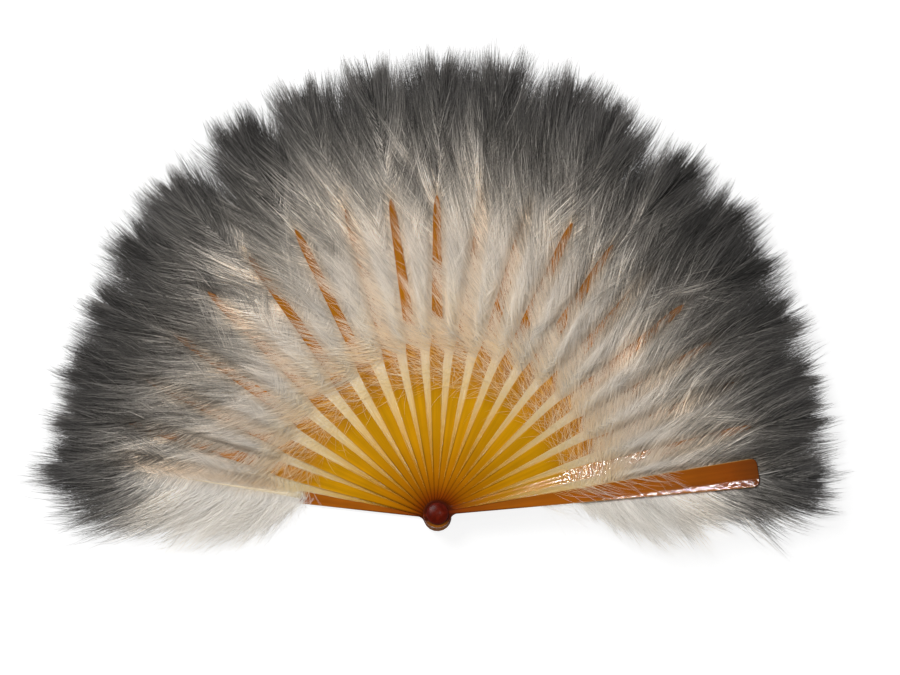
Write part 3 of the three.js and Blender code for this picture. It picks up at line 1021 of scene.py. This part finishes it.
def make_plumes(blades):
    """A downy piece for each plume, in place of its plain solid."""
    down = down_material()
    quill = quill_material()
    for index, blade in enumerate(blades):
        rng = np.random.default_rng(SEED + index)
        piece = bpy.data.objects.new(blade.plume + "_down", down_mesh(index, blades, rng))
        bpy.context.scene.collection.objects.link(piece)
        piece.data.materials.append(down)
        piece.data.materials.append(quill)
        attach(piece, frame["nodes"][blade.plume]["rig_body"])
        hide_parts(blade.plume)
        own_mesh(piece)


def finish_blades(blades):
    """Amber on the guards, the sticks and the rivet."""
    rng = np.random.default_rng(SEED)
    for blade in blades:
        is_stick = blade.name.startswith("stick")
        stops = STICK_STOPS_WITH_PAINTED_LIGHT if is_stick else GUARD_STOPS_WITH_PAINTED_SHADE
        widths = STICK_HALF_WIDTHS_MM[:2] if is_stick else GUARD_HALF_WIDTHS_MM
        shade = rng.uniform(*BLADE_SHADES)
        finish = SATIN if is_stick else POLISHED
        if blade.name == "stick_01":
            finish = GLITTERING
        dress(blade.name, amber_material(blade.name + "_amber", blade.angle, stops, shade, widths, finish))
    rivet = rivet_material()
    for node in ("rivet_rear_cap", "rivet_pin", "rivet_stud"):
        dress(node, rivet)


def dress(node, material):
    """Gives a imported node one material."""
    mesh = frame["nodes"][node].data
    mesh.materials.clear()
    mesh.materials.append(material)


def make_floor():
    """A pale floor that looks white and keeps a soft shadow."""
    corners = [(x * FLOOR_HALF, y * FLOOR_HALF, 0) for x, y in ((-1, -1), (1, -1), (1, 1), (-1, 1))]
    mesh = bpy.data.meshes.new("floor")
    mesh.from_pydata(corners, [], [(0, 1, 2, 3)])
    floor = bpy.data.objects.new("floor", mesh)
    bpy.context.scene.collection.objects.link(floor)
    look = Shading("floor")
    path = look.nodes.new("ShaderNodeLightPath")
    seen = path.outputs["Is Camera Ray"]
    for name in ("Is Glossy Ray", "Is Transmission Ray"):
        seen = look.calc("MAXIMUM", seen, path.outputs[name])
    matt = look.add("ShaderNodeBsdfDiffuse", "BSDF", Color=(*FLOOR_COLOUR, 1))
    glow = look.add("ShaderNodeEmission", "Emission", Strength=look.calc("MULTIPLY", seen, FLOOR_GLOW))
    both = look.nodes.new("ShaderNodeAddShader")
    look.links.new(matt, both.inputs[0])
    look.links.new(glow, both.inputs[1])
    mesh.materials.append(look.finish(both.outputs["Shader"]))


def make_world():
    """A plain soft light from all round, pale at the horizon and dimmer overhead."""
    world = bpy.data.worlds.new("studio")
    bpy.context.scene.world = world
    world.use_nodes = True
    nodes = world.node_tree.nodes
    links = world.node_tree.links
    nodes.clear()
    output = nodes.new("ShaderNodeOutputWorld")
    background = nodes.new("ShaderNodeBackground")
    direction = nodes.new("ShaderNodeTexCoord")
    parts = nodes.new("ShaderNodeSeparateXYZ")
    links.new(direction.outputs["Generated"], parts.inputs["Vector"])
    strength = nodes.new("ShaderNodeMapRange")
    strength.inputs["To Min"].default_value = HORIZON_LIGHT
    strength.inputs["To Max"].default_value = ZENITH_LIGHT
    links.new(parts.outputs["Z"], strength.inputs["Value"])
    links.new(strength.outputs["Result"], background.inputs["Strength"])
    links.new(background.outputs["Background"], output.inputs["Surface"])


def add_lamp(name, place, turn, size, power):
    """A soft rectangular lamp that shines along its own -Z."""
    data = bpy.data.lights.new(name, "AREA")
    data.shape = "RECTANGLE"
    data.size, data.size_y = size
    data.energy = power
    lamp = bpy.data.objects.new(name, data)
    bpy.context.scene.collection.objects.link(lamp)
    lamp.location = place
    lamp.rotation_euler = turn


def add_key():
    """The main light, from behind the plumes and to the left."""
    aim = VIEW_CENTRE - np.array(KEY_PLACE)
    tilt = math.atan2(math.hypot(aim[0], aim[1]), -aim[2])
    add_lamp("key", KEY_PLACE, (0, -tilt, math.atan2(aim[1], aim[0])), KEY_SIZE, KEY_POWER)


def view_point():
    """Where the camera stands."""
    return VIEW_CENTRE + VIEW_DISTANCE * np.array([0, -math.sin(VIEW_TILT), math.cos(VIEW_TILT)])


def add_glint(blade, spot, size, power):
    """A slim lamp that the camera sees mirrored along a blade."""
    mirror = np.array(rotated(*spot, blade.angle))
    eye = view_point()
    lever = (GLINT_HEIGHT - blade.front) / (eye[2] - blade.front)
    place = mirror + (mirror - eye[:2]) * lever
    add_lamp(blade.name + "_glint", (*place, GLINT_HEIGHT), (0, 0, blade.angle), size, power)


def make_camera():
    """A long lens above the fan."""
    data = bpy.data.cameras.new("camera")
    data.sensor_width = SENSOR_WIDTH
    data.lens = SENSOR_WIDTH * VIEW_DISTANCE / PICTURE_WIDTH
    data.clip_end = VIEW_FAR
    camera = bpy.data.objects.new("camera", data)
    bpy.context.scene.collection.objects.link(camera)
    camera.location = view_point()
    camera.rotation_euler = (VIEW_TILT, 0, 0)
    bpy.context.scene.camera = camera


def main():
    """Sets the stage, then dresses the blades and makes the down."""
    bpy.context.scene.view_settings.view_transform = "Standard"
    sticks = sorted(name for name in frame["nodes"] if name.startswith("stick_"))
    blades = [read_blade(name) for name in ("front_guard", *sticks, "rear_guard")]
    make_camera()
    make_world()
    add_key()
    for name, spot, size, power in GLINTS:
        blade = next(blade for blade in blades if blade.name == name)
        add_glint(blade, spot, size, power)
    make_floor()
    finish_blades(blades)
    make_plumes(blades)


main()
